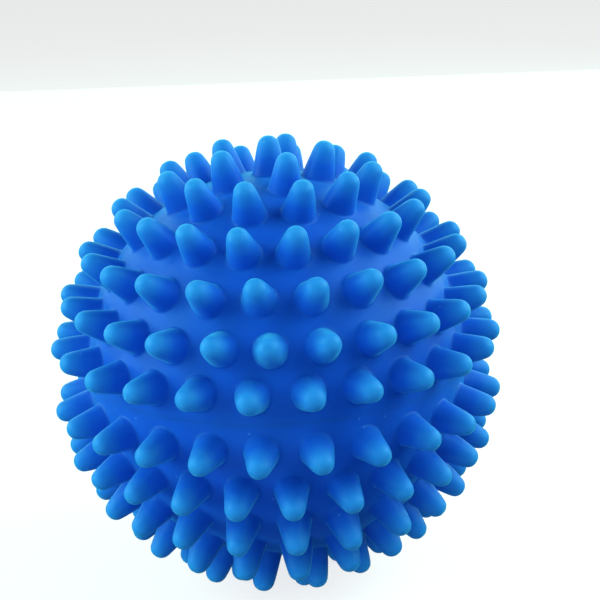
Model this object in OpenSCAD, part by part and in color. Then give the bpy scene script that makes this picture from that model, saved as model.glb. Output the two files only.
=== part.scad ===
// Dryer ball: a hollow ball of soft vinyl with round-tipped nubs all over it.
// It is two half-shells, welded together at the equator, and a plug that closes
// the vent hole at the lower pole. The ball stands on its five lowest nubs. The
// origin is on that surface, below the ball's centre, with +Z up and the front
// at -Y.

/* [Ball] */
// Diameter over the tips of the nubs
ball_d = 65; // [54:0.5:80]
// Thickness of the shell's wall
wall = 2.6; // [2.1:0.1:4]
// Straight part of each half's wall, next to the weld plane
rim_h = 0.6; // [0.3:0.1:1.5]

/* [Nubs] */
// Height of a nub, from the surface of the body to its tip
nub_h = 5.4; // [4.3:0.1:6.5]
// Radius of a nub's round tip
tip_r = 1.6; // [1.3:0.05:1.9]
// Angle between a nub's side and its own axis
nub_taper = 11; // [6:0.5:15]

/* [Weld joint] */
// Height of the tongue that the upper half sets inside the lower one
tongue_h = 1.8; // [1:0.1:3]
// Thickness of the tongue
tongue_t = 1.2; // [0.8:0.1:1.6]
// Gap between the tongue and its rebate, which the weld fills
weld_gap = 0.05; // [0.02:0.01:0.2]

/* [Vent and plug] */
// Radius of the vent hole
vent_r = 1.5; // [1:0.1:2]
// Radius of the thick pad around the vent hole, inside the shell
pad_r = 3.8; // [3.2:0.1:5]
// Height of that pad above the wall
pad_h = 1.2; // [0.6:0.1:2]
// Radius of the plug's head
head_r = 2.6; // [2.1:0.1:3.2]
// Thickness of the plug's head at its rim
head_t = 0.9; // [0.6:0.1:1.4]
// How far the plug's barb stands out past the edge of the vent hole
barb_out = 0.4; // [0.2:0.1:0.8]
// Length of the plug's tapered barb
barb_h = 1.6; // [1:0.1:2.5]
// Gap around the plug in its hole and in its seat
plug_gap = 0.05; // [0.02:0.01:0.15]

/* [Hidden] */

// Each half has six rows of nubs between its rim and its pole.
// Latitude of each row, as seen from the centre of the half's dome
row_lat = [7, 19.5, 33, 47, 62, 75];
// Number of nubs in each row
row_count = [24, 24, 21, 18, 12, 5];
// Turn of each row's first nub about the pole, from the front
upper_turn = [8, -1.5, 12, 8.5, 17, 17.5];
lower_turn = [-5, 3, 3.5, 5, 18, 20];
// Azimuth where each half's wall closes into a ring, between the nubs' centres
upper_seam = 33;
lower_seam = 29;

$fn = 96;
nub_fn = 48;
front = -90;
last_row = len(row_lat) - 1;
body_r = ball_d / 2 - nub_h;
inner_r = body_r - wall;
tip_centre = ball_d / 2 - tip_r;
// The nubs are rooted at the middle of the wall
nub_root = body_r - wall / 2;
// Height of the weld plane, with the lowest nubs standing on the surface
weld_z = tip_centre * sin(row_lat[last_row]) + tip_r + rim_h;
rebate_r = inner_r + tongue_t + weld_gap;
// Heights above the dome's centre: the plug's seat, and the pad's inner face
seat_z = sqrt(body_r * body_r - head_r * head_r) - head_t;
pad_z = inner_r - pad_h;
// The tip of the barb is thinner than the hole, so that it can be pushed in
barb_tip_r = vent_r * 0.7;

// A nub along +Z: a tapered side that runs into a round tip
module nub() {
  slope = tan(nub_taper);
  side_r = tip_r * cos(nub_taper);
  side_z = tip_centre + tip_r * sin(nub_taper);
  root_r = side_r + (side_z - nub_root) * slope;
  rotate_extrude($fn = nub_fn) intersection() {
    union() {
      polygon([[0, nub_root], [root_r, nub_root], [side_r, side_z], [0, side_z]]);
      translate([0, tip_centre]) circle(r = tip_r);
    }
    translate([0, nub_root]) square(ball_d);
  }
}

// One row of nubs around the pole
module nub_row(i, turn)
  for (k = [0 : row_count[i] - 1])
    rotate([0, 90 - row_lat[i], front + turn + k * 360 / row_count[i]]) nub();

// All the rows of one half, over its straight rim
module nub_rows(turns)
  translate([0, 0, rim_h]) for (i = [0 : last_row]) nub_row(i, turns[i]);

// Half profile of a dome over its straight rim, with the weld plane at the bottom
module dome_profile(r) {
  translate([0, rim_h]) intersection() {
    circle(r = r);
    square(r);
  }
  square([r, rim_h + 0.001]);
}

// Wall of one half, as a half profile
module wall_profile() difference() {
  dome_profile(body_r);
  dome_profile(inner_r);
}

// Upper half: a nub on its pole, and a tongue below its rim
module upper_shell() color("royalblue") translate([0, 0, weld_z]) {
  rotate([0, 0, upper_seam]) rotate_extrude() {
    wall_profile();
    translate([inner_r, -tongue_h]) square([tongue_t, tongue_h + rim_h]);
  }
  nub_rows(upper_turn);
  translate([0, 0, rim_h]) nub();
}

// Lower half: a rebate for the tongue, and the vent hole in its pole
module lower_shell() color("mediumblue") translate([0, 0, weld_z]) mirror([0, 0, 1])
  difference() {
    union() {
      rotate([0, 0, lower_seam]) rotate_extrude() wall_profile();
      nub_rows(lower_turn);
      translate([0, 0, rim_h + pad_z]) cylinder(r = pad_r, h = nub_root - pad_z);
    }
    translate([0, 0, -1]) cylinder(r = rebate_r, h = tongue_h + weld_gap + 1);
    translate([0, 0, rim_h]) {
      cylinder(r = vent_r, h = ball_d);
      translate([0, 0, seat_z]) cylinder(r = head_r + plug_gap, h = nub_h);
    }
  }

// Plug: a head flush with the body, a stem in the vent hole, and a barb inside
module vent_plug() color("navy") translate([0, 0, weld_z - rim_h]) mirror([0, 0, 1]) {
  stem_r = vent_r - plug_gap;
  barb_z = pad_z - plug_gap;
  rotate_extrude() {
    intersection() {
      translate([0, seat_z]) square([head_r, nub_h]);
      circle(r = body_r);
    }
    translate([0, barb_z - barb_h / 2]) square([stem_r, seat_z + head_t / 2 - barb_z + barb_h / 2]);
    polygon([[0, barb_z - barb_h], [barb_tip_r, barb_z - barb_h],
             [vent_r + barb_out, barb_z], [0, barb_z]]);
  }
}

upper_shell();
lower_shell();
vent_plug();
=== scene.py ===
"""Dress a dryer ball for its portrait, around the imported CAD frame.

The ball is a hollow ball of soft blue vinyl with round-tipped nubs all over it.
Two half-shells meet at a weld plane, and a small plug closes the vent hole at
the lower pole. It stands on its five lowest nubs on a plain pale table, in soft
studio light. Every length is in metres, in the frame's own axes: +Z is up, the
front is at -Y, and the origin is on the table, below the ball's centre.
"""

from __future__ import annotations

import logging
import math
from dataclasses import dataclass, field
from enum import Enum

import bmesh
import bpy
import numpy as np
from mathutils import Matrix, Vector
from mathutils.geometry import delaunay_2d_cdt

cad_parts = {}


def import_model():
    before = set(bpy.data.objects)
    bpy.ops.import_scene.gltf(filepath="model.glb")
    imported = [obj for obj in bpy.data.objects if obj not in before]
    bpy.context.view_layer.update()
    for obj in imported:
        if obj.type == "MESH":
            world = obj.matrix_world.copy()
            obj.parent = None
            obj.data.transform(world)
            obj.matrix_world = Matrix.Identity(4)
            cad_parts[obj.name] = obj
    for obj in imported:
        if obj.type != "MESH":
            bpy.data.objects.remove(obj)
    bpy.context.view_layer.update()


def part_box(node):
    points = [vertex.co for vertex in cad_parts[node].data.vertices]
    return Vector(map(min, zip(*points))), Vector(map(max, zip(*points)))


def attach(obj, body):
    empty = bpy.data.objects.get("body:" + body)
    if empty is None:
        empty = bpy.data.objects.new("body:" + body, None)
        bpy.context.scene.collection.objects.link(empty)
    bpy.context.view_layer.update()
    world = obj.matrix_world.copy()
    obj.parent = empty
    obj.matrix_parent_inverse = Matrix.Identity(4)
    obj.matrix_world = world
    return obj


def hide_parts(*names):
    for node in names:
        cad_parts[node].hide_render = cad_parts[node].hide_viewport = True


LOG = logging.getLogger("dryer_ball")
MM = 0.001
BODY = "root"
# Levels of the Subdivision Surface that rounds every piece
SMOOTHING = 1
FRONT = math.radians(-90)


class Half(Enum):
    """The two half-shells: the CAD node of each, and the way its pole points."""

    UPPER = ("upper_shell", 1.0)
    LOWER = ("lower_shell", -1.0)

    @property
    def node(self) -> str:
        """Name of the half's CAD node."""
        return self.value[0]

    @property
    def way(self) -> float:
        """Sign of the half's pole along +Z."""
        return self.value[1]


# ---------------------------------------------------------------- mesh helpers


def ring_quads(near: np.ndarray, far: np.ndarray) -> np.ndarray:
    """Join two closed rings of vertices with quads.

    Quad i takes vertices i and i + 1 of the near ring, then i + 1 and i of the far one.

    Args:
        near: Vertex numbers, with the ring along the last axis.
        far: As many vertex numbers, in the same order.

    Returns:
        Quads, one row each.
    """
    quads = np.stack([near, np.roll(near, -1, -1), np.roll(far, -1, -1), far], -1)
    return quads.reshape(-1, 4)


def fan_triangles(ring: np.ndarray, hub: np.ndarray) -> np.ndarray:
    """Close rings of vertices with triangles to a hub in the middle of each.

    Args:
        ring: Vertex numbers, with the ring along the last axis.
        hub: Vertex number of the hub of each ring.

    Returns:
        Triangles, one row each.
    """
    hubs = np.broadcast_to(np.asarray(hub)[..., None], ring.shape)
    return np.stack([ring, np.roll(ring, -1, -1), hubs], -1).reshape(-1, 3)


def spline_swell(segments: int) -> float:
    """Give the factor by which a control ring is wider than its smooth curve.

    A subdivided ring settles at (2 + cos(step)) / 3 of its control points' radius.

    Args:
        segments: Number of points on the ring.

    Returns:
        The factor, a little over 1.
    """
    return 3 / (2 + math.cos(math.tau / segments))


def make_piece(
    name: str,
    vertices: np.ndarray,
    faces: list[np.ndarray],
    corner: np.ndarray,
    levels: int,
) -> bpy.types.Object:
    """Make a closed, smooth piece from a control mesh.

    Edges along a corner ring stay sharp, and a Subdivision Surface rounds the rest.

    Args:
        name: Name of the new object.
        vertices: Points, one row each.
        faces: Arrays of triangles and of quads.
        corner: For each vertex, the number of its corner ring, or 0.
        levels: Levels of the Subdivision Surface.

    Returns:
        The new object, at the origin, with its place in its mesh.
    """
    mesh = bpy.data.meshes.new(name)
    rows = [row for block in faces for row in block.tolist()]
    mesh.from_pydata(vertices.tolist(), [], rows, shade_flat=False)
    shape = bmesh.new()
    shape.from_mesh(mesh)
    bmesh.ops.recalc_face_normals(shape, faces=shape.faces)
    shape.to_mesh(mesh)
    shape.free()
    ends = np.empty(len(mesh.edges) * 2, np.int32)
    mesh.edges.foreach_get("vertices", ends)
    first, second = corner[ends.reshape(-1, 2)].T
    sharp = (first == second) & (first > 0)
    crease = mesh.attributes.new("crease_edge", "FLOAT", "EDGE")
    crease.data.foreach_set("value", sharp.astype(np.float32))
    edge = mesh.attributes.new("sharp_edge", "BOOLEAN", "EDGE")
    edge.data.foreach_set("value", sharp)
    piece = bpy.data.objects.new(name, mesh)
    bpy.context.scene.collection.objects.link(piece)
    smooth = piece.modifiers.new("smooth", "SUBSURF")
    smooth.levels = smooth.render_levels = levels
    return piece


# ---------------------------------------------------------------- finishes


@dataclass(frozen=True)
class Vinyl:
    """Soft, satin vinyl, coloured through, that lets a little light into its thin ends.

    Attributes:
        deep: Colour of the body between the nubs, the vinyl's own colour.
        flank: Colour of the nubs' flanks, partly painted light on the way to the tip.
        tip: Paler colour of the nubs' tips: painted light, for the light that glows
            through their thin ends.
        rim: Tint of the soft sheen at glancing angles.
        roughness: Middle roughness of the satin.
        sheen: Weight of the sheen.
        depth: Share of the light that goes a little way into the vinyl.
        mottle_scale: Cells of the colour's slow mottle in a metre.
        mottle: How far the mottle shifts the colour, as a share of its range.
        grain_scale: Cells of the satin's fine grain in a metre.
        grain: How far the grain changes the roughness, up and down.
        speck_scale: Cells of the specks' pattern in a metre.
        speck: Colour of the specks.
    """

    name: str
    deep: tuple[float, float, float]
    flank: tuple[float, float, float]
    tip: tuple[float, float, float]
    rim: tuple[float, float, float] = (0.1, 0.9, 0.95)
    roughness: float = 0.42
    sheen: float = 0.5
    depth: float = 0.6
    mottle_scale: float = 95.0
    mottle: float = 0.16
    grain_scale: float = 1400.0
    grain: float = 0.05
    speck_scale: float = 260.0
    speck: tuple[float, float, float] = (0.12, 0.38, 0.8)

    def material(self, centre: float, start: float, reach: float) -> bpy.types.Material:
        """Build the material for a piece.

        The colour goes from deep through flank to tip with the distance from the
        dome's centre: painted light, paler up each nub for the light that glows
        through its thin tip. A slow noise mottles it, a Voronoi pattern adds small pale
        specks, and a fine noise gives the satin its grain in roughness and bump.

        Args:
            centre: Height of the dome's centre.
            start: Distance from that centre where the colour starts to change.
            reach: Length over which it changes.

        Returns:
            The new material.
        """
        made = bpy.data.materials.new(self.name)
        made.use_nodes = True
        tree = made.node_tree
        shader = tree.nodes["Principled BSDF"]
        place = tree.nodes.new("ShaderNodeTexCoord").outputs["Object"]

        move = tree.nodes.new("ShaderNodeMapping")
        move.inputs["Location"].default_value = (0.0, 0.0, -centre)
        tree.links.new(place, move.inputs["Vector"])
        away = tree.nodes.new("ShaderNodeVectorMath")
        away.operation = "LENGTH"
        tree.links.new(move.outputs["Vector"], away.inputs[0])
        share = tree.nodes.new("ShaderNodeMapRange")
        share.inputs["From Min"].default_value = start
        share.inputs["From Max"].default_value = start + reach
        tree.links.new(away.outputs["Value"], share.inputs["Value"])

        mottle = self._noise(tree, place, scale=self.mottle_scale, detail=3.0)
        drift = tree.nodes.new("ShaderNodeMath")
        drift.operation = "MULTIPLY_ADD"
        drift.inputs[1].default_value = self.mottle
        tree.links.new(mottle, drift.inputs[0])
        shift = tree.nodes.new("ShaderNodeMath")
        shift.operation = "SUBTRACT"
        shift.inputs[1].default_value = self.mottle / 2
        tree.links.new(share.outputs["Result"], shift.inputs[0])
        tree.links.new(shift.outputs["Value"], drift.inputs[2])

        # Colour gradient from deep to tip: painted light, paler up each nub for the
        # glow of light through its thin tip
        tip_glow_ramp = tree.nodes.new("ShaderNodeValToRGB")
        stops = tip_glow_ramp.color_ramp.elements
        stops[0].position, stops[0].color = 0.0, (*self.deep, 1.0)
        stops[1].position, stops[1].color = 1.0, (*self.tip, 1.0)
        middle = stops.new(0.4)
        middle.color = (*self.flank, 1.0)
        tree.links.new(drift.outputs["Value"], tip_glow_ramp.inputs["Fac"])

        speck = self._specks(tree, place)
        dust = tree.nodes.new("ShaderNodeMix")
        dust.data_type = "RGBA"
        dust.inputs["B"].default_value = (*self.speck, 1.0)
        tree.links.new(speck, dust.inputs["Factor"])
        tree.links.new(tip_glow_ramp.outputs["Color"], dust.inputs["A"])
        tree.links.new(dust.outputs["Result"], shader.inputs["Base Color"])

        grain = self._noise(tree, place, scale=self.grain_scale, detail=4.0)
        satin = tree.nodes.new("ShaderNodeMapRange")
        satin.inputs["From Min"].default_value = 0.3
        satin.inputs["From Max"].default_value = 0.7
        satin.inputs["To Min"].default_value = self.roughness - self.grain
        satin.inputs["To Max"].default_value = self.roughness + self.grain
        tree.links.new(grain, satin.inputs["Value"])
        tree.links.new(satin.outputs["Result"], shader.inputs["Roughness"])
        relief = tree.nodes.new("ShaderNodeBump")
        relief.inputs["Strength"].default_value = 0.12
        relief.inputs["Distance"].default_value = 0.04 * MM
        tree.links.new(grain, relief.inputs["Height"])
        tree.links.new(relief.outputs["Normal"], shader.inputs["Normal"])

        shader.inputs["IOR"].default_value = 1.5
        shader.inputs["Specular IOR Level"].default_value = 0.22
        shader.inputs["Specular Tint"].default_value = (0.15, 0.8, 1.0, 1.0)
        shader.inputs["Subsurface Weight"].default_value = self.depth
        shader.inputs["Subsurface Radius"].default_value = (0.3, 0.7, 1.0)
        shader.inputs["Subsurface Scale"].default_value = 1.2 * MM
        shader.inputs["Sheen Weight"].default_value = self.sheen
        shader.inputs["Sheen Roughness"].default_value = 0.35
        shader.inputs["Sheen Tint"].default_value = (*self.rim, 1.0)
        return made

    @staticmethod
    def _noise(
        tree: bpy.types.NodeTree,
        place: bpy.types.NodeSocket,
        scale: float,
        detail: float,
    ) -> bpy.types.NodeSocket:
        """Add a noise texture.

        Args:
            tree: The material's node tree.
            place: Socket of the coordinates.
            scale: Cells per metre.
            detail: Octaves of finer noise.

        Returns:
            The noise's output socket.
        """
        noise = tree.nodes.new("ShaderNodeTexNoise")
        noise.inputs["Scale"].default_value = scale
        noise.inputs["Detail"].default_value = detail
        tree.links.new(place, noise.inputs["Vector"])
        return noise.outputs["Fac"]

    def _specks(
        self, tree: bpy.types.NodeTree, place: bpy.types.NodeSocket
    ) -> bpy.types.NodeSocket:
        """Scatter tiny pale specks, one at the middle of each Voronoi cell.

        A speck shows only where the surface passes through such a middle. It
        fades out between 0.03 and 0.06 of a cell away from it.

        Args:
            tree: The material's node tree.
            place: Socket of the coordinates.

        Returns:
            Socket of the specks' strength.
        """
        cells = tree.nodes.new("ShaderNodeTexVoronoi")
        cells.inputs["Scale"].default_value = self.speck_scale
        tree.links.new(place, cells.inputs["Vector"])
        dot = tree.nodes.new("ShaderNodeMapRange")
        dot.inputs["From Min"].default_value = 0.06
        dot.inputs["From Max"].default_value = 0.03
        dot.inputs["To Max"].default_value = 0.3
        tree.links.new(cells.outputs["Distance"], dot.inputs["Value"])
        return dot.outputs["Result"]


# The paler tip colour is painted light: the glow of light through the nubs' thin tips
SHELL_VINYL = Vinyl(
    name="shell_vinyl",
    deep=(0.006, 0.086, 0.56),
    flank=(0.007, 0.112, 0.62),
    tip=(0.023, 0.260, 0.67),
)
# The plug pales outwards on the same gradient: painted light on its head
PLUG_VINYL = Vinyl(
    name="plug_vinyl",
    deep=(0.004, 0.07, 0.5),
    flank=(0.006, 0.10, 0.58),
    tip=(0.02, 0.2, 0.66),
    roughness=0.4,
)


# ---------------------------------------------------------------- the ball


@dataclass
class Nub:
    """One nub: a fillet on the body, a tapered side and a round tip.

    Attributes:
        height: From the body's surface to the tip.
        tip_radius: Radius of the round tip.
        taper: Angle between the side and the nub's own axis.
        fillet: Width of the fillet at the foot.
        inset: How far the tip's surface stays inside its full radius.
        segments: Sides of the control mesh.
    """

    height: float = 5.4 * MM
    tip_radius: float = 1.6 * MM
    taper: float = math.radians(11)
    fillet: float = 0.45 * MM
    inset: float = 0.025 * MM
    segments: int = 12

    def profile(self, body_r: float) -> np.ndarray:
        """Work out the control profile, from the body up to the tip.

        The side is a straight line that leaves the tip's circle where it is
        tangent to it. It meets the body's circle at the foot, which has one
        control point on the body, one in the corner and one just above. The
        tip's points stand on a circle that is swollen by the spline's factor.
        The hub is set so that the smooth surface's top is at the full height.

        Args:
            body_r: Radius of the body.

        Returns:
            Rows of (distance from the nub's axis, distance from the dome's
            centre). The last row is the hub on the axis.
        """
        centre = body_r + self.height - self.tip_radius
        top = centre + self.tip_radius * math.sin(self.taper)
        edge = self.tip_radius * math.cos(self.taper)
        slope = math.tan(self.taper)
        # The foot solves (edge + (top - z) slope)^2 + z^2 = body_r^2
        a = 1 + slope * slope
        b = -2 * slope * (edge + top * slope)
        c = (edge + top * slope) ** 2 - body_r * body_r
        foot_z = (-b + math.sqrt(b * b - 4 * a * c)) / (2 * a)
        foot_r = edge + (top - foot_z) * slope
        skirt_r = foot_r + self.fillet
        above = 0.8 * self.fillet
        step = (math.pi / 2 - self.taper) / 3
        tip_r = self.tip_radius - self.inset
        swollen = tip_r * 3 / (2 + math.cos(step))
        arc = self.taper + step * np.arange(1, 3)
        rows = [
            [skirt_r, math.sqrt(body_r * body_r - skirt_r * skirt_r)],
            [foot_r, foot_z],
            [foot_r - above * slope, foot_z + above],
            [edge + 0.02 * MM, top],
            *np.stack([swollen * np.cos(arc), centre + swollen * np.sin(arc)], 1),
        ]
        last = rows[-1][1]
        n = self.segments
        hub = ((n + 5) * (centre + tip_r) - last * 14 / 3) / (n + 1 / 3)
        return np.array([*rows, [0.0, hub]])


@dataclass
class NubRows:
    """Rows of nubs round the pole of one half, each evenly spaced.

    Attributes:
        turns: Turn of each row's first nub about the pole, from the front, in degrees.
        on_pole: Whether a nub stands on the pole itself.
        standing: Whether the last row's nubs carry the ball.
        latitudes: Latitude of each row on the half's dome, in degrees.
        counts: Number of nubs in each row.
        drift: How far a nub's foot wanders from its place, in degrees.
        lean: How far a tip leans off its foot.
        short: The most by which a nub is short of its full height.
    """

    turns: tuple[float, ...]
    on_pole: bool
    standing: bool
    latitudes: tuple[float, ...] = (7, 19.5, 33, 47, 62, 75)
    counts: tuple[int, ...] = (24, 24, 21, 18, 12, 5)
    drift: float = 0.35
    lean: float = 0.12 * MM
    short: float = 0.1 * MM

    def axes(self, rng: np.random.Generator) -> np.ndarray:
        """Place the nubs' axes on the dome, with its pole at +Z.

        Nub k of a row is turned k / count of a circle from the row's first one,
        and then wanders a little along and across its row.

        Args:
            rng: Source of the small irregularities.

        Returns:
            Unit vectors, one row for each nub.
        """
        counts = np.array(self.counts)
        row = np.repeat(np.arange(len(counts)), counts)
        k = np.arange(counts.sum()) - np.repeat(np.cumsum(counts) - counts, counts)
        wander = self.drift * rng.uniform(-1, 1, (2, len(row)))
        wander *= self._free(row)
        lat = np.radians(np.array(self.latitudes)[row] + wander[0])
        turn = np.radians(np.array(self.turns)[row] + wander[1] + 360 * k / counts[row])
        flat = np.cos(lat)
        axes = np.stack(
            [flat * np.cos(FRONT + turn), flat * np.sin(FRONT + turn), np.sin(lat)], 1
        )
        return np.vstack([axes, [[0.0, 0.0, 1.0]]]) if self.on_pole else axes

    def _free(self, row: np.ndarray) -> np.ndarray:
        """Give 1 for each nub that may be irregular, and 0 for one that stands."""
        return np.where(self.standing & (row == len(self.counts) - 1), 0.0, 1.0)

    def quirks(self, rng: np.random.Generator) -> tuple[np.ndarray, np.ndarray]:
        """Draw each nub's own lean and shortness.

        Args:
            rng: Source of the small irregularities.

        Returns:
            The tip's offset along the two directions across its axis, one row for
            each nub, and how much shorter than full height each nub is.
        """
        row = np.repeat(np.arange(len(self.counts)), self.counts)
        free = self._free(row)
        if self.on_pole:
            free = np.append(free, 0.0)
        lean = self.lean * rng.uniform(-1, 1, (len(free), 2)) * free[:, None]
        return lean, self.short * rng.uniform(0, 1, len(free)) * free


@dataclass
class HalfShell:
    """One half of the ball, as a single closed skin from its nubs to its inner wall.

    The outside is a dome over a short straight rim. Triangles fill the dome
    between the nubs' feet. The inside is a profile turned about the pole.

    Attributes:
        half: Which half it is.
        weld_z: Height of the weld plane.
        ball_r: Radius over the tips, from the dome's centre.
        rim_h: Height of the straight rim.
        rows: Where its nubs are.
        nub: Shape of its nubs.
        wall: Thickness of the wall.
        tongue_h: Height of the tongue of the weld joint.
        tongue_t: Thickness of that tongue.
        weld_gap: Gap between the tongue and its rebate.
        vent_r: Radius of the vent hole.
        pad_r: Radius of the pad round the vent hole.
        pad_h: Height of the pad.
        seat_r: Radius of the seat of the plug's head.
        seat_t: Depth of that seat.
        round_segments: Points on each ring about the pole.
        mesh_step: Distance between points on the dome.
        waviness: Depth of the slow waves in the moulded surface.
    """

    half: Half
    weld_z: float
    ball_r: float
    rim_h: float
    rows: NubRows
    nub: Nub = field(default_factory=Nub)
    wall: float = 2.6 * MM
    tongue_h: float = 1.8 * MM
    tongue_t: float = 1.2 * MM
    weld_gap: float = 0.05 * MM
    vent_r: float = 1.5 * MM
    pad_r: float = 3.8 * MM
    pad_h: float = 1.2 * MM
    seat_r: float = 2.65 * MM
    seat_t: float = 0.9 * MM
    round_segments: int = 72
    mesh_step: float = 1.3 * MM
    waviness: float = 0.05 * MM

    @property
    def body_r(self) -> float:
        """Radius of the body, under the nubs."""
        return self.ball_r - self.nub.height

    @property
    def inner_r(self) -> float:
        """Radius of the hollow."""
        return self.body_r - self.wall

    @property
    def dome_z(self) -> float:
        """Height of the dome's centre."""
        return self.weld_z + self.half.way * self.rim_h

    def build(self, rng: np.random.Generator) -> bpy.types.Object:
        """Build the half-shell's piece.

        All of it is worked out with the dome's centre at the origin and the pole
        at +Z, and then put in its place.

        Args:
            rng: Source of the small irregularities.

        Returns:
            The new piece.
        """
        axes = self.rows.axes(rng)
        rings, hubs = self._nub_points(axes, *self.rows.quirks(rng))
        rim = self._ring(self.body_r, 0.0)
        vent = self._ring(self.seat_r, self._on_sphere(self.body_r, self.seat_r))
        has_vent = self.half is Half.LOWER
        loops = [rim[None], rings[:, 0]] + ([vent[None]] if has_vent else [])
        skin, dome_faces, loop_ids = self._fill_dome(loops, axes, has_vent)
        dome_rim, feet = loop_ids[0][0], loop_ids[1]

        nub_count, ring_count, segments = rings.shape[:3]
        upper = np.arange(nub_count * (ring_count - 1) * segments)
        upper = len(skin) + upper.reshape(nub_count, ring_count - 1, segments)
        levels = np.concatenate([feet[:, None], upper], 1)
        hub_ids = upper.max() + 1 + np.arange(nub_count)
        nub_quads = ring_quads(levels[:, :-1], levels[:, 1:])
        nub_tips = fan_triangles(levels[:, -1], hub_ids)
        points = [skin, rings[:, 1:].reshape(-1, 3), hubs]
        count = sum(map(len, points))

        profile = self._inner_profile()
        turned = np.stack([self._ring(r, z) for r, z, _ in profile])
        ids = count + np.arange(turned.shape[0] * turned.shape[1])
        ids = ids.reshape(turned.shape[:2])
        points.append(turned.reshape(-1, 3))
        count += turned.shape[0] * turned.shape[1]
        quads = [nub_quads, ring_quads(dome_rim, ids[0]), ring_quads(ids[:-1], ids[1:])]
        triangles = [dome_faces, nub_tips]
        corner = np.zeros(count + 1, np.int32)
        ring_numbers = np.arange(1, len(profile) + 1)
        corner[ids] = np.where(profile[:, 2] > 0, ring_numbers, 0)[:, None]
        if has_vent:
            quads.append(ring_quads(ids[-1], loop_ids[2][0]))
            corner[loop_ids[2][0]] = len(profile) + 1
        else:
            points.append(np.array([[0.0, 0.0, self.inner_r]]))
            triangles.append(fan_triangles(ids[-1], count))
        local = np.vstack(points)
        placed = self._place(self._wave(local))
        faces = triangles + quads
        name = f"{self.half.node}_skin"
        return make_piece(name, placed, faces, corner[: len(local)], SMOOTHING)

    def _place(self, local: np.ndarray) -> np.ndarray:
        """Put points that have the dome's centre at the origin in their place."""
        return local * [1.0, 1.0, self.half.way] + [0.0, 0.0, self.dome_z]

    def _wave(self, local: np.ndarray) -> np.ndarray:
        """Press slow, shallow waves into the moulded outside.

        Each point outside the wall's middle moves towards the centre by the
        waviness times a sum of three slow sines of its direction, from 0 to 1.

        Args:
            local: Points, with the dome's centre at the origin.

        Returns:
            The moved points.
        """
        away = np.linalg.norm(local, axis=1)
        outside = away > self.body_r - self.wall / 4
        unit = local * [1.0, 1.0, self.half.way] / np.maximum(away, MM)[:, None]
        unit[:, 2] *= np.abs(unit[:, 2])
        directions = np.array([[5.0, 2.0, 3.0], [-3.0, 6.0, 2.0], [2.0, -4.0, 6.0]])
        waves = np.sin(unit @ directions.T)
        depth = self.waviness * (0.5 + waves.mean(1) / 2) * outside
        return local * (1 - depth / np.maximum(away, MM))[:, None]

    def _ring(self, radius: float, z: float) -> np.ndarray:
        """Place a ring of control points about the pole, swollen for the spline."""
        angle = math.tau * np.arange(self.round_segments) / self.round_segments
        wide = radius * spline_swell(self.round_segments)
        return np.stack(
            [wide * np.cos(angle), wide * np.sin(angle), np.full_like(angle, z)], 1
        )

    @staticmethod
    def _on_sphere(radius: float, r: float) -> float:
        """Height on a sphere about the dome's centre, at distance r from its axis."""
        return math.sqrt(radius * radius - r * r)

    def _nub_points(
        self, axes: np.ndarray, lean: np.ndarray, short: np.ndarray
    ) -> tuple[np.ndarray, np.ndarray]:
        """Turn the nub's profile about every axis at once.

        A point at angle t is the axis times its distance from the centre, plus
        its distance from the axis times (cos t across + sin t up). It then leans
        and shortens in proportion to its height over the body.

        Args:
            axes: Unit vectors of the nubs.
            lean: Offset of each tip across its axis.
            short: How much shorter each nub is.

        Returns:
            Points of the rings, by nub, ring and segment, and the tips' hubs.
        """
        profile = self.nub.profile(self.body_r)
        side = np.cross([0.0, 0.0, 1.0], axes)
        side[np.linalg.norm(side, axis=1) < 1e-6] = [1.0, 0.0, 0.0]
        side /= np.linalg.norm(side, axis=1, keepdims=True)
        up = np.cross(axes, side)
        angle = math.tau * np.arange(self.nub.segments) / self.nub.segments
        around = np.cos(angle)[:, None] * side[:, None]
        around = around + np.sin(angle)[:, None] * up[:, None]
        height = np.clip((profile[:, 1] - self.body_r) / self.nub.height, 0, None)
        along = profile[None, :, 1] - short[:, None] * height
        spine = axes[:, None] * along[..., None]
        tilt = lean[:, :1] * side + lean[:, 1:] * up
        spine += tilt[:, None] * height[None, :, None] ** 1.5
        wide = profile[:-1, 0] * spline_swell(self.nub.segments)
        rings = spine[:, :-1, None] + wide[None, :, None, None] * around[:, None]
        return rings, spine[:, -1]

    def _fill_dome(
        self, loops: list[np.ndarray], axes: np.ndarray, has_vent: bool
    ) -> tuple[np.ndarray, np.ndarray, list[np.ndarray]]:
        """Fill the dome between its rim, its nubs' feet and its vent with triangles.

        The dome is laid flat as seen from the opposite pole, where a circle stays
        a circle: a point's x and y are divided by (1 + z) on the unit sphere. A
        Delaunay triangulation joins the loops and an even spiral of points
        between them, and the triangles inside a nub's foot or the vent are left out.

        Args:
            loops: Blocks of closed loops of points, by loop and point: the rim,
                the nubs' feet and, if there is one, the vent.
            axes: Unit vectors of the nubs.
            has_vent: Whether the last block is the vent's loop.

        Returns:
            The skin's points, its triangles, and the vertex numbers of each block.
        """
        loop_points = [block.reshape(-1, 3) for block in loops]
        starts = np.cumsum([0, *map(len, loop_points)])
        loop_ids = [
            start + np.arange(block.shape[0] * block.shape[1]).reshape(block.shape[:2])
            for start, block in zip(starts, loops)
        ]
        edges = np.concatenate(
            [np.stack([i, np.roll(i, -1, 1)], -1).reshape(-1, 2) for i in loop_ids]
        )
        skin = np.vstack([*loop_points, self._spiral(axes, has_vent)])
        unit = skin / np.linalg.norm(skin, axis=1, keepdims=True)
        flat = unit[:, :2] / (1 + unit[:, 2:])
        result = delaunay_2d_cdt(
            list(map(Vector, flat.tolist())), edges.tolist(), [], 0, 1e-7, True
        )
        source = np.array([min(ids) if ids else -1 for ids in result[3]])
        triangles = source[np.array(result[2])]
        owner = np.zeros(len(skin), np.int32)
        feet = loop_ids[1]
        owner[feet] = np.arange(1, len(feet) + 1)[:, None]
        if has_vent:
            owner[loop_ids[2]] = len(feet) + 1
        a, b, c = owner[triangles].T
        keep = ~((a == b) & (b == c) & (a > 0))
        return skin, triangles[keep], loop_ids

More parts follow.
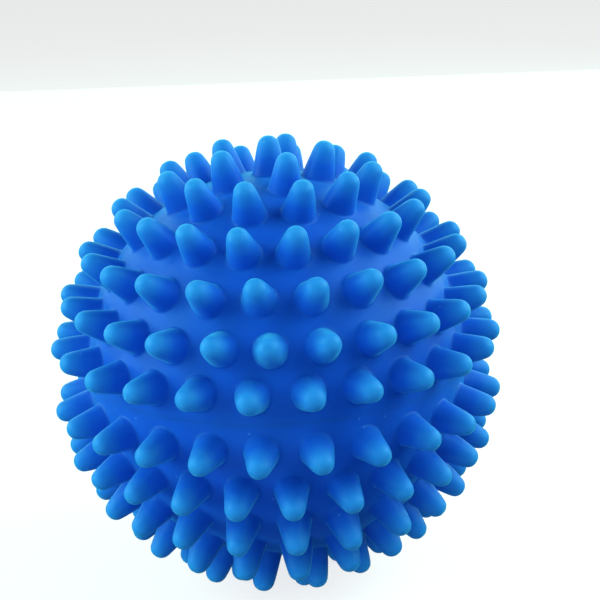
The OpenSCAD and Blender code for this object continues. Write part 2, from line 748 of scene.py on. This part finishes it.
    def _spiral(self, axes: np.ndarray, has_vent: bool) -> np.ndarray:
        """Spread points evenly over the dome, clear of its loops.

        Point i of a golden spiral is at height (i + 1/2) / count of the dome and
        turns by the golden angle from the one before.

        Args:
            axes: Unit vectors of the nubs.
            has_vent: Whether to keep clear of the vent.

        Returns:
            Points on the body's sphere.
        """
        area = math.tau * self.body_r**2
        count = int(area / (self.mesh_step**2 * math.sqrt(3) / 2))
        i = np.arange(count)
        z = (i + 0.5) / count
        turn = i * math.pi * (3 - math.sqrt(5))
        flat = np.sqrt(1 - z * z)
        unit = np.stack([flat * np.cos(turn), flat * np.sin(turn), z], 1)
        skirt = self.nub.profile(self.body_r)[0, 0] * spline_swell(self.nub.segments)
        clear = math.cos((skirt + 0.55 * self.mesh_step) / self.body_r)
        keep = (unit @ axes.T).max(1) < clear
        keep &= z * self.body_r > 0.6 * self.mesh_step
        if has_vent:
            keep &= z < math.cos((self.seat_r + 0.6 * self.mesh_step) / self.body_r)
        return unit[keep] * self.body_r

    def _inner_profile(self) -> np.ndarray:
        """Trace the profile from the outer edge of the weld face round the inside.

        Returns:
            Rows of (distance from the pole's axis, height, 1 where the ring is a
            sharp corner).
        """
        if self.half is Half.UPPER:
            tongue_r = self.inner_r + self.tongue_t
            tongue_z = -self.rim_h - self.tongue_h
            joint = [
                [self.body_r, -self.rim_h, 1],
                [tongue_r, -self.rim_h, 1],
                [tongue_r, tongue_z, 1],
                [self.inner_r, tongue_z, 1],
                [self.inner_r, 0.0, 0],
            ]
            start, end = math.radians(6), math.radians(86)
            vent = []
        else:
            rebate_r = self.inner_r + self.tongue_t + self.weld_gap
            rebate_z = self.tongue_h + self.weld_gap - self.rim_h
            joint = [
                [self.body_r, -self.rim_h, 1],
                [rebate_r, -self.rim_h, 1],
                [rebate_r, rebate_z, 1],
                [math.sqrt(self.inner_r**2 - rebate_z**2), rebate_z, 1],
            ]
            start = 2 * math.asin(rebate_z / self.inner_r)
            end = math.acos(1.25 * self.pad_r / self.inner_r)
            pad_z = self.inner_r - self.pad_h
            seat_z = self._on_sphere(self.body_r, self.seat_r) - self.seat_t
            vent = [
                [self.pad_r, self._on_sphere(self.inner_r, self.pad_r), 1],
                [self.pad_r, pad_z, 1],
                [self.vent_r, pad_z, 1],
                [self.vent_r, seat_z, 1],
                [self.seat_r, seat_z, 1],
            ]
        arc = np.linspace(start, end, 12)
        hollow = self.inner_r * np.stack([np.cos(arc), np.sin(arc)], 1)
        hollow = np.column_stack([hollow, np.zeros(len(hollow))])
        return np.array([*joint, *hollow, *vent])


@dataclass
class VentPlug:
    """The plug in the vent hole: a head flush with the body, a stem and a barb.

    Attributes:
        dome_z: Height of the lower dome's centre.
        body_r: Radius of the body.
        inner_r: Radius of the hollow.
        head_r: Radius of the head.
        head_t: Thickness of the head at its rim.
        vent_r: Radius of the vent hole.
        gap: Gap round the plug.
        pad_h: Height of the pad that the barb holds behind.
        barb_out: How far the barb stands out past the hole's edge.
        barb_h: Length of the barb.
        dimple_r: Radius of the moulding dimple in the head.
        dimple_t: Depth of that dimple.
        segments: Sides of the control mesh.
    """

    dome_z: float
    body_r: float
    inner_r: float
    head_r: float = 2.6 * MM
    head_t: float = 0.9 * MM
    vent_r: float = 1.5 * MM
    gap: float = 0.05 * MM
    pad_h: float = 1.2 * MM
    barb_out: float = 0.4 * MM
    barb_h: float = 1.6 * MM
    dimple_r: float = 0.8 * MM
    dimple_t: float = 0.15 * MM
    segments: int = 32

    def profile(self) -> np.ndarray:
        """Trace the plug from its head's middle to its barb's end.

        The head's face follows the body's sphere, with a shallow dimple in the
        middle, and its edge is rounded.

        Returns:
            Rows of (distance from the axis, height over the dome's centre).
        """
        seat = math.sqrt(self.body_r**2 - self.head_r**2) - self.head_t
        edge = 0.14 * MM
        face = np.array([1.0, 1.25, 0.6 * self.head_r / self.dimple_r]) * self.dimple_r
        face = np.append(face, self.head_r - edge)
        head = np.stack([face, np.sqrt(self.body_r**2 - face**2)], 1)
        floor = np.array([[0.4, 0.0], [0.9, 0.0]]) * self.dimple_r
        floor[:, 1] = self.body_r - self.dimple_t - 0.02 * MM
        rim_z = math.sqrt(self.body_r**2 - self.head_r**2)
        stem_r = self.vent_r - self.gap
        barb_z = self.inner_r - self.pad_h - self.gap
        rest = [
            [self.head_r - 0.3 * edge, rim_z - 0.05 * edge],
            [self.head_r, rim_z - edge],
            [self.head_r, seat + edge],
            [self.head_r, seat + 0.02 * MM],
            [self.head_r - 0.05 * MM, seat],
            [stem_r + 0.1 * MM, seat],
            [stem_r, seat - 0.1 * MM],
            [stem_r, barb_z + 0.1 * MM],
            [stem_r + 0.05 * MM, barb_z],
            [self.vent_r + self.barb_out - 0.05 * MM, barb_z],
            [self.vent_r + self.barb_out, barb_z - 0.08 * MM],
            [0.7 * self.vent_r + 0.05 * MM, barb_z - self.barb_h + 0.1 * MM],
            [0.7 * self.vent_r - 0.1 * MM, barb_z - self.barb_h],
            [0.3 * self.vent_r, barb_z - self.barb_h],
        ]
        return np.array([*floor, *head, *rest])

    def build(self) -> bpy.types.Object:
        """Build the plug's piece, closed at both ends by hubs on its axis.

        Returns:
            The new piece.
        """
        profile = self.profile()
        angle = math.tau * np.arange(self.segments) / self.segments
        wide = profile[:, :1] * spline_swell(self.segments)
        points = np.stack(
            [
                wide * np.cos(angle),
                wide * np.sin(angle),
                np.broadcast_to(-profile[:, 1:], (len(profile), self.segments)),
            ],
            -1,
        )
        ids = np.arange(points.shape[0] * points.shape[1]).reshape(points.shape[:2])
        hubs = np.array([[0, 0, -profile[0, 1]], [0, 0, -profile[-1, 1]]])
        vertices = np.vstack([points.reshape(-1, 3), hubs]) + [0, 0, self.dome_z]
        first, last = ids.size, ids.size + 1
        faces = [
            ring_quads(ids[:-1], ids[1:]),
            fan_triangles(ids[0], first),
            fan_triangles(ids[-1], last),
        ]
        corner = np.zeros(len(vertices), int)
        return make_piece("vent_plug_body", vertices, faces, corner, SMOOTHING)


@dataclass
class DryerBall:
    """The whole ball, made to the frame's own sizes and dressed in vinyl.

    Attributes:
        seed: Seed of the small irregularities.
        rim_h: Height of each half's straight rim.
    """

    seed: int = 7
    rim_h: float = 0.6 * MM

    def build(self) -> list[bpy.types.Object]:
        """Build and dress the three pieces in the places of the CAD nodes.

        The weld plane is the top of the lower node. The ball's radius is the
        upper node's height over that plane, less the rim.

        Returns:
            The pieces.
        """
        weld_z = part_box(Half.LOWER.node)[1].z
        ball_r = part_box(Half.UPPER.node)[1].z - weld_z - self.rim_h
        rng = np.random.default_rng(self.seed)
        upper_turns = (8, -1.5, 12, 8.5, 17, 17.5)
        lower_turns = (-5, 3, 3.5, 5, 18, 20)
        layout = {
            Half.UPPER: NubRows(upper_turns, on_pole=True, standing=False),
            Half.LOWER: NubRows(lower_turns, on_pole=False, standing=True),
        }
        pieces = []
        for half, rows in layout.items():
            shell = HalfShell(half, weld_z, ball_r, self.rim_h, rows)
            piece = shell.build(rng)
            # The colour pales from the body up to the tips: painted light
            skin = SHELL_VINYL.material(shell.dome_z, shell.body_r, shell.nub.height)
            self._dress(piece, skin, half.node, "soft_vinyl")
            pieces.append(piece)
        plug = VentPlug(shell.dome_z, shell.body_r, shell.inner_r)
        piece = plug.build()
        # The plug's colour pales outwards across this span: painted light
        skin = PLUG_VINYL.material(shell.dome_z, shell.body_r - 6 * MM, 12 * MM)
        self._dress(piece, skin, "vent_plug", "plug_vinyl")
        return [*pieces, piece]

    @staticmethod
    def _dress(
        piece: bpy.types.Object, skin: bpy.types.Material, node: str, slot: str
    ) -> None:
        """Give a piece its material and its body, and hide the CAD node it stands for.
        """
        piece.data.materials.append(skin)
        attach(piece, BODY)
        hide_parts(node)
        LOG.info("piece %s: %d control faces", piece.name, len(piece.data.polygons))


# ---------------------------------------------------------------- the studio


@dataclass
class SoftBox:
    """A square studio light that points at the ball.

    Attributes:
        name: Name of the light.
        azimuth: Direction it stands in, from the front towards the right, in degrees.
        elevation: Its angle above the table, in degrees.
        power: Power in watts.
        colour: Colour of the light.
        size: Side of its square.
        distance: Its distance from the ball's middle.
    """

    name: str
    azimuth: float
    elevation: float
    power: float
    colour: tuple[float, float, float]
    size: float = 0.45
    distance: float = 0.5

    def build(self, target: Vector) -> bpy.types.Object:
        """Hang the light, out of the camera's sight.

        Args:
            target: Point that it faces.

        Returns:
            The light's object.
        """
        data = bpy.data.lights.new(self.name, "AREA")
        data.shape = "SQUARE"
        data.size, data.energy, data.color = self.size, self.power, self.colour
        light = bpy.data.objects.new(self.name, data)
        bpy.context.scene.collection.objects.link(light)
        a, e = math.radians(self.azimuth), math.radians(self.elevation)
        away = Vector(
            (math.sin(a) * math.cos(e), -math.cos(a) * math.cos(e), math.sin(e))
        )
        light.location = target + away * self.distance
        light.rotation_mode = "QUATERNION"
        light.rotation_quaternion = (-away).to_track_quat("-Z", "Y")
        light.visible_camera = False
        return light


@dataclass
class Studio:
    """The pale table, the soft light and the camera.

    Attributes:
        boxes: The soft boxes.
        fill: Strength of the even light from all round.
        fill_colour: Its colour.
        floor_colour: Colour of the table.
        floor_glow: Strength of the table's own even light, as on a light table.
        elevation: The camera's angle above the table, in degrees.
        distance: The camera's distance from the ball's middle.
        lens: Its focal length in millimetres, on a sensor 36 mm wide.
        roll: Its turn about its own line of sight, in degrees.
        pan: How far it looks to the right of the ball's middle, in degrees.
        tilt: How far it looks above the ball's middle, in degrees.
        table_half: Half the table's width.
        table_front: How far the table reaches in front of the ball.
        table_back: Where it starts to curve up, behind the ball.
        table_bend: Radius of that curve.
        table_top: Height of its far edge.
    """

    boxes: tuple[SoftBox, ...] = (
        SoftBox("left", -80, 22, 3.4, (0.7, 1.0, 0.82)),
        SoftBox("right", 84, 36, 3.2, (0.8, 1.0, 0.88)),
        SoftBox("front", -8, 20, 2.3, (0.55, 0.95, 1.0), size=1.1),
        SoftBox("back_left", -130, 20, 0.9, (0.45, 1.0, 0.9)),
        SoftBox("back_right", 130, 20, 1.3, (0.45, 1.0, 0.9)),
        SoftBox("back", 180, 20, 1.0, (0.3, 0.9, 0.95)),
        SoftBox("under", -20, -30, 0.8, (0.7, 0.8, 1.0)),
    )
    fill: float = 0.05
    fill_colour: tuple[float, float, float] = (0.82, 0.88, 1.0)
    floor_colour: tuple[float, float, float] = (0.3, 0.3, 0.3)
    floor_glow: float = 0.78
    elevation: float = 17.68
    distance: float = 0.2291
    lens: float = 94.6
    roll: float = 2.33
    pan: float = 0.84
    tilt: float = 2.21
    table_half: float = 4.0
    table_front: float = 3.0
    table_back: float = 1.5
    table_bend: float = 0.5
    table_top: float = 3.0

    def build(self, middle: Vector) -> None:
        """Set up the table, the lights, the even fill and the camera.

        Args:
            middle: The ball's middle.
        """
        self._table()
        for box in self.boxes:
            box.build(middle)
        world = bpy.data.worlds.new("studio_fill")
        bpy.context.scene.world = world
        world.use_nodes = True
        shade = world.node_tree.nodes["Background"]
        shade.inputs["Color"].default_value = (*self.fill_colour, 1.0)
        shade.inputs["Strength"].default_value = self.fill
        self._camera(middle)
        bpy.context.scene.view_settings.view_transform = "Standard"

    def _table(self) -> bpy.types.Object:
        """Make the table: one flat sheet that curves up far behind the ball.

        The sheet's profile runs level, then round a quarter circle, then up. It
        is carried straight across from left to right.

        Returns:
            The table's object.
        """
        bend, back = self.table_bend, self.table_back
        angle = np.linspace(0, math.pi / 2, 25)
        curve = back + bend * np.sin(angle)
        run = np.concatenate([[-self.table_front], curve, [back + bend]])
        climb = bend * (1 - np.cos(angle))
        rise = np.concatenate([[0.0], climb, [self.table_top]])
        side = np.array([-self.table_half, self.table_half])
        x, y = np.meshgrid(side, run, indexing="ij")
        z = np.broadcast_to(rise, x.shape)
        points = np.stack([x, y, z], -1).reshape(-1, 3)
        near = np.arange(len(run))
        far = near + len(run)
        quads = np.stack([near[:-1], far[:-1], far[1:], near[1:]], 1)
        mesh = bpy.data.meshes.new("table")
        mesh.from_pydata(points.tolist(), [], quads.tolist(), shade_flat=False)
        table = bpy.data.objects.new("table", mesh)
        bpy.context.scene.collection.objects.link(table)
        paint = bpy.data.materials.new("table_paint")
        paint.use_nodes = True
        shader = paint.node_tree.nodes["Principled BSDF"]
        shader.inputs["Base Color"].default_value = (*self.floor_colour, 1.0)
        shader.inputs["Roughness"].default_value = 0.9
        shader.inputs["Specular IOR Level"].default_value = 0.1
        shader.inputs["Emission Color"].default_value = (1.0, 1.0, 1.0, 1.0)
        shader.inputs["Emission Strength"].default_value = self.floor_glow
        mesh.materials.append(paint)
        # The table neither lights the ball, shows in its gloss, nor shades it
        table.visible_diffuse = table.visible_glossy = table.visible_shadow = False
        return table

    def _camera(self, middle: Vector) -> None:
        """Place the camera in front of the ball, a little above it, and aim it.

        Args:
            middle: The ball's middle.
        """
        data = bpy.data.cameras.new("portrait")
        data.sensor_width, data.lens = 36.0, self.lens
        data.clip_start, data.clip_end = 0.01, 20.0
        camera = bpy.data.objects.new("portrait", data)
        bpy.context.scene.collection.objects.link(camera)
        e = math.radians(self.elevation)
        back = Vector((0.0, -math.cos(e), math.sin(e)))
        camera.location = middle + back * self.distance
        straight = (-back).to_track_quat("-Z", "Y").to_matrix()
        aim = (
            Matrix.Rotation(-math.radians(self.roll), 3, "Z")
            @ Matrix.Rotation(-math.radians(self.pan), 3, "Y")
            @ Matrix.Rotation(math.radians(self.tilt), 3, "X")
        )
        camera.rotation_mode = "QUATERNION"
        camera.rotation_quaternion = (straight @ aim).to_quaternion()
        bpy.context.scene.camera = camera


def main() -> None:
    """Load the frame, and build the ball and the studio."""
    logging.basicConfig(level=logging.INFO, format="%(name)s: %(message)s")
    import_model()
    DryerBall().build()
    Studio().build(Vector((0.0, 0.0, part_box(Half.LOWER.node)[1].z)))


if __name__ == "__main__":
    main()
